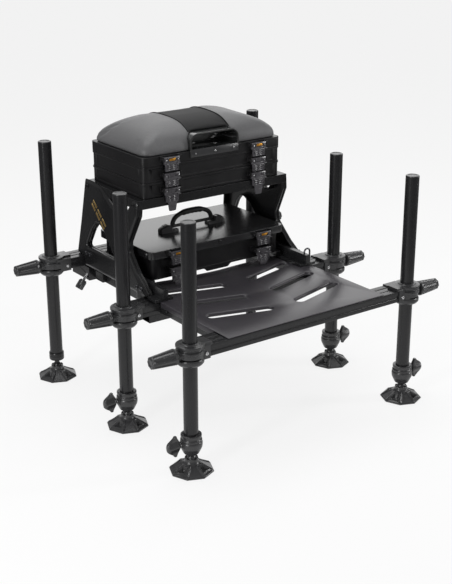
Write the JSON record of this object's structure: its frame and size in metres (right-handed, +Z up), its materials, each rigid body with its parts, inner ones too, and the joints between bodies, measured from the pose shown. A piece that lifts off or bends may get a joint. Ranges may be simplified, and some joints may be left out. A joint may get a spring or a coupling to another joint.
{
  "type": "fishing seat box",
  "caption": "Fishing seat box: padded seat on stacked tackle trays over a wide footplate, carried on six telescopic legs with clamps and tilting feet.",
  "frame": {"origin": "on the ground at the middle of the outer box, between the six feet", "axes": "+X to the right of someone facing the footplate, +Y from the footplate to the seat's back, +Z up"},
  "size_m": [0.924, 0.802, 0.75],
  "materials": {
    "black_anodised": "satin black anodised",
    "black_coated": "satin black powder coat",
    "footplate_grey": "satin dark grey",
    "black_plastic": "fine textured moulding",
    "box_plastic": "textured moulding with a low sheen",
    "latch_plastic": "moulded, slight sheen",
    "seat_leather": "dark grey leatherette",
    "handle_rubber": "soft satin rubber",
    "bright_screws": "polished"
  },
  "bodies": {
    "chassis": {"front_crossbar": "black_anodised", "rear_crossbar": "black_anodised", "middle_crossbar": "black_anodised", "middle_leg_arms": "black_anodised", "side_rails": "black_anodised", "leg_clamps": "black_plastic", "side_frame_left": "black_coated", "side_frame_right": "black_coated", "seat_frame": "black_coated", "slide_rails": "black_anodised", "rail_hook": "black_coated", "frame_bolts": "bright_screws", "rail_clamp_blocks": "black_coated", "footplate": "footplate_grey", "footplate_arms": "black_anodised"},
    "lower_tray": {"lower_tray": "box_plastic"},
    "upper_tray": {"upper_tray": "box_plastic"},
    "seat_lid": {"seat_lid": "box_plastic", "seat_cushion": "seat_leather", "handle_plate": "handle_rubber"},
    "seat_latches_top": {"seat_latches_top": "latch_plastic"},
    "seat_latches_middle": {"seat_latches_middle": "latch_plastic"},
    "seat_latches_bottom": {"seat_latches_bottom": "latch_plastic"},
    "case": {"box_tray": "box_plastic"},
    "case_lid": {"box_lid": "box_plastic", "handle_brackets": "black_plastic"},
    "case_handle": {"box_handle": "handle_rubber"},
    "box_latches_top": {"box_latches_top": "latch_plastic"},
    "box_latches_bottom": {"box_latches_bottom": "latch_plastic"},
    "rail_knob": {"rail_knob": "black_plastic"},
    "leg_front_left": {"leg_tube_front_left": "black_anodised", "leg_collar_front_left": "black_plastic"},
    "inner_leg_front_left": {"inner_leg_front_left": "black_anodised"},
    "wing_knob_front_left": {"wing_knob_front_left": "black_plastic"},
    "foot_front_left": {"foot_front_left": "black_plastic"},
    "clamp_knob_front_left": {"clamp_knob_front_left": "black_plastic"},
    "leg_front_right": {"leg_tube_front_right": "black_anodised", "leg_collar_front_right": "black_plastic"},
    "inner_leg_front_right": {"inner_leg_front_right": "black_anodised"},
    "wing_knob_front_right": {"wing_knob_front_right": "black_plastic"},
    "foot_front_right": {"foot_front_right": "black_plastic"},
    "clamp_knob_front_right": {"clamp_knob_front_right": "black_plastic"},
    "leg_middle_left": {"leg_tube_middle_left": "black_anodised", "leg_collar_middle_left": "black_plastic"},
    "inner_leg_middle_left": {"inner_leg_middle_left": "black_anodised"},
    "wing_knob_middle_left": {"wing_knob_middle_left": "black_plastic"},
    "foot_middle_left": {"foot_middle_left": "black_plastic"},
    "clamp_knob_middle_left": {"clamp_knob_middle_left": "black_plastic"},
    "leg_middle_right": {"leg_tube_middle_right": "black_anodised", "leg_collar_middle_right": "black_plastic"},
    "inner_leg_middle_right": {"inner_leg_middle_right": "black_anodised"},
    "wing_knob_middle_right": {"wing_knob_middle_right": "black_plastic"},
    "foot_middle_right": {"foot_middle_right": "black_plastic"},
    "clamp_knob_middle_right": {"clamp_knob_middle_right": "black_plastic"},
    "leg_rear_left": {"leg_tube_rear_left": "black_anodised"},
    "foot_rear_left": {"foot_rear_left": "black_plastic"},
    "clamp_knob_rear_left": {"clamp_knob_rear_left": "black_plastic"},
    "leg_rear_right": {"leg_tube_rear_right": "black_anodised"},
    "foot_rear_right": {"foot_rear_right": "black_plastic"},
    "clamp_knob_rear_right": {"clamp_knob_rear_right": "black_plastic"}
  },
  "joints": [
    {"name": "lower_tray_hinge", "type": "hinge", "parent": "chassis", "child": "lower_tray", "pos_m": [0, 0.3245, 0.57315], "axis": [-1, 0, 0], "range_deg": [0, 60]},
    {"name": "upper_tray_hinge", "type": "hinge", "parent": "lower_tray", "child": "upper_tray", "pos_m": [0, 0.3245, 0.6142], "axis": [-1, 0, 0], "range_deg": [0, 60]},
    {"name": "seat_lid_hinge", "type": "hinge", "parent": "upper_tray", "child": "seat_lid", "pos_m": [0, 0.3245, 0.6562], "axis": [-1, 0, 0], "range_deg": [0, 85]},
    {"name": "seat_latches_top_swing", "type": "hinge", "parent": "seat_lid", "child": "seat_latches_top", "pos_m": [0, 0.0415, 0.6737], "axis": [-1, 0, 0], "range_deg": [0, 100]},
    {"name": "seat_latches_middle_swing", "type": "hinge", "parent": "upper_tray", "child": "seat_latches_middle", "pos_m": [0, 0.0415, 0.6317], "axis": [-1, 0, 0], "range_deg": [0, 100]},
    {"name": "seat_latches_bottom_swing", "type": "hinge", "parent": "lower_tray", "child": "seat_latches_bottom", "pos_m": [0, 0.0415, 0.5908], "axis": [-1, 0, 0], "range_deg": [0, 100]},
    {"name": "case_slide", "type": "slide", "parent": "chassis", "child": "case", "axis": [0, -1, 0], "range_m": [0, 0.25]},
    {"name": "case_lid_hinge", "type": "hinge", "parent": "case", "child": "case_lid", "pos_m": [0, 0.3035, 0.4153], "axis": [-1, 0, 0], "range_deg": [0, 12]},
    {"name": "case_handle_fold", "type": "hinge", "parent": "case_lid", "child": "case_handle", "pos_m": [0, 0.16, 0.446], "axis": [-1, 0, 0], "range_deg": [0, 90]},
    {"name": "box_latches_top_swing", "type": "hinge", "parent": "case_lid", "child": "box_latches_top", "pos_m": [0, 0.016, 0.4243], "axis": [-1, 0, 0], "range_deg": [0, 100]},
    {"name": "box_latches_bottom_swing", "type": "hinge", "parent": "case", "child": "box_latches_bottom", "pos_m": [0, 0.016, 0.378], "axis": [-1, 0, 0], "range_deg": [0, 100]},
    {"name": "rail_knob_turn", "type": "hinge", "parent": "chassis", "child": "rail_knob", "pos_m": [-0.264, 0.306, 0.3], "axis": [-0.6157, 0, -0.788], "continuous": true},
    {"name": "leg_slide_front_left", "type": "slide", "parent": "chassis", "child": "leg_front_left", "axis": [0, 0, 1], "range_m": [-0.25, 0.15]},
    {"name": "inner_slide_front_left", "type": "slide", "parent": "leg_front_left", "child": "inner_leg_front_left", "axis": [0, 0, -1], "range_m": [0, 0.25]},
    {"name": "wing_knob_turn_front_left", "type": "hinge", "parent": "leg_front_left", "child": "wing_knob_front_left", "pos_m": [-0.4, -0.345, 0.078], "axis": [1, 0, 0], "continuous": true},
    {"name": "foot_tilt_front_left", "type": "hinge", "parent": "inner_leg_front_left", "child": "foot_front_left", "pos_m": [-0.351, -0.345, 0.033], "axis": [1, 0, 0], "range_deg": [-20, 20]},
    {"name": "clamp_knob_turn_front_left", "type": "hinge", "parent": "chassis", "child": "clamp_knob_front_left", "pos_m": [-0.4, -0.345, 0.312], "axis": [1, 0, 0], "continuous": true},
    {"name": "leg_slide_front_right", "type": "slide", "parent": "chassis", "child": "leg_front_right", "axis": [0, 0, 1], "range_m": [-0.25, 0.15]},
    {"name": "inner_slide_front_right", "type": "slide", "parent": "leg_front_right", "child": "inner_leg_front_right", "axis": [0, 0, -1], "range_m": [0, 0.25]},
    {"name": "wing_knob_turn_front_right", "type": "hinge", "parent": "leg_front_right", "child": "wing_knob_front_right", "pos_m": [0.4, -0.345, 0.078], "axis": [1, 0, 0], "continuous": true},
    {"name": "foot_tilt_front_right", "type": "hinge", "parent": "inner_leg_front_right", "child": "foot_front_right", "pos_m": [0.351, -0.345, 0.033], "axis": [1, 0, 0], "range_deg": [-20, 20]},
    {"name": "clamp_knob_turn_front_right", "type": "hinge", "parent": "chassis", "child": "clamp_knob_front_right", "pos_m": [0.4, -0.345, 0.312], "axis": [1, 0, 0], "continuous": true},
    {"name": "leg_slide_middle_left", "type": "slide", "parent": "chassis", "child": "leg_middle_left", "axis": [0, 0, 1], "range_m": [-0.25, 0.15]},
    {"name": "inner_slide_middle_left", "type": "slide", "parent": "leg_middle_left", "child": "inner_leg_middle_left", "axis": [0, 0, -1], "range_m": [0, 0.25]},
    {"name": "wing_knob_turn_middle_left", "type": "hinge", "parent": "leg_middle_left", "child": "wing_knob_middle_left", "pos_m": [-0.4, -0.045, 0.078], "axis": [1, 0, 0], "continuous": true},
    {"name": "foot_tilt_middle_left", "type": "hinge", "parent": "inner_leg_middle_left", "child": "foot_middle_left", "pos_m": [-0.351, -0.045, 0.033], "axis": [1, 0, 0], "range_deg": [-20, 20]},
    {"name": "clamp_knob_turn_middle_left", "type": "hinge", "parent": "chassis", "child": "clamp_knob_middle_left", "pos_m": [-0.4, -0.045, 0.312], "axis": [1, 0, 0], "continuous": true},
    {"name": "leg_slide_middle_right", "type": "slide", "parent": "chassis", "child": "leg_middle_right", "axis": [0, 0, 1], "range_m": [-0.25, 0.15]},
    {"name": "inner_slide_middle_right", "type": "slide", "parent": "leg_middle_right", "child": "inner_leg_middle_right", "axis": [0, 0, -1], "range_m": [0, 0.25]},
    {"name": "wing_knob_turn_middle_right", "type": "hinge", "parent": "leg_middle_right", "child": "wing_knob_middle_right", "pos_m": [0.4, -0.045, 0.078], "axis": [1, 0, 0], "continuous": true},
    {"name": "foot_tilt_middle_right", "type": "hinge", "parent": "inner_leg_middle_right", "child": "foot_middle_right", "pos_m": [0.351, -0.045, 0.033], "axis": [1, 0, 0], "range_deg": [-20, 20]},
    {"name": "clamp_knob_turn_middle_right", "type": "hinge", "parent": "chassis", "child": "clamp_knob_middle_right", "pos_m": [0.4, -0.045, 0.312], "axis": [1, 0, 0], "continuous": true},
    {"name": "leg_slide_rear_left", "type": "slide", "parent": "chassis", "child": "leg_rear_left", "axis": [0, 0, 1], "range_m": [-0.28, 0.2]},
    {"name": "foot_tilt_rear_left", "type": "hinge", "parent": "leg_rear_left", "child": "foot_rear_left", "pos_m": [-0.351, 0.345, 0.033], "axis": [1, 0, 0], "range_deg": [-20, 20]},
    {"name": "clamp_knob_turn_rear_left", "type": "hinge", "parent": "chassis", "child": "clamp_knob_rear_left", "pos_m": [-0.4, 0.345, 0.342], "axis": [1, 0, 0], "continuous": true},
    {"name": "leg_slide_rear_right", "type": "slide", "parent": "chassis", "child": "leg_rear_right", "axis": [0, 0, 1], "range_m": [-0.28, 0.2]},
    {"name": "foot_tilt_rear_right", "type": "hinge", "parent": "leg_rear_right", "child": "foot_rear_right", "pos_m": [0.351, 0.345, 0.033], "axis": [1, 0, 0], "range_deg": [-20, 20]},
    {"name": "clamp_knob_turn_rear_right", "type": "hinge", "parent": "chassis", "child": "clamp_knob_rear_right", "pos_m": [0.4, 0.345, 0.342], "axis": [1, 0, 0], "continuous": true}
  ]
}
